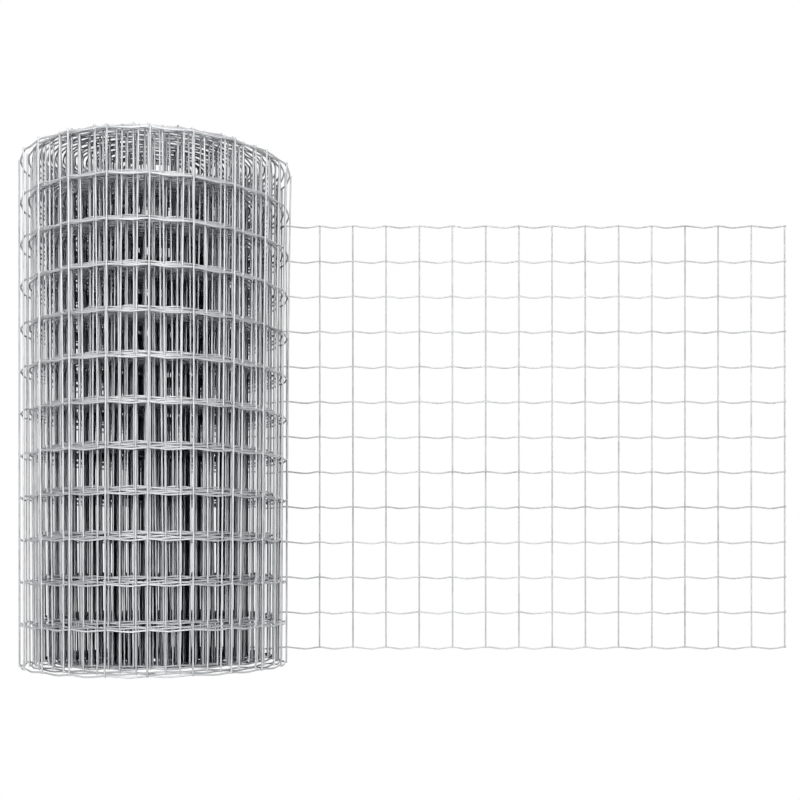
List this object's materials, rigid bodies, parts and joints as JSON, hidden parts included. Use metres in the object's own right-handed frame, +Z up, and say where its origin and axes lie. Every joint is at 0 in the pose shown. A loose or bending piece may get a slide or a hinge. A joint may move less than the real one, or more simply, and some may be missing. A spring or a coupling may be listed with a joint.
{
  "type": "roll of wire fencing",
  "caption": "Upright roll of galvanised welded wire fencing with crimped line wires, its last wrap sprung open and run out straight beside it.",
  "frame": {"origin": "on the axis of the roll's bore, at the floor it stands on", "axes": "+Z up along the bore, +X the way the unrolled end runs out, -Y towards the viewer in the picture"},
  "size_m": [1.0174, 0.397, 0.6095],
  "materials": {
    "galvanised_wire": "galvanised, satin grey"
  },
  "bodies": {
    "root": {"wound_roll": "galvanised_wire", "sprung_wrap": "galvanised_wire", "unrolled_end": "galvanised_wire"}
  },
  "joints": []
}
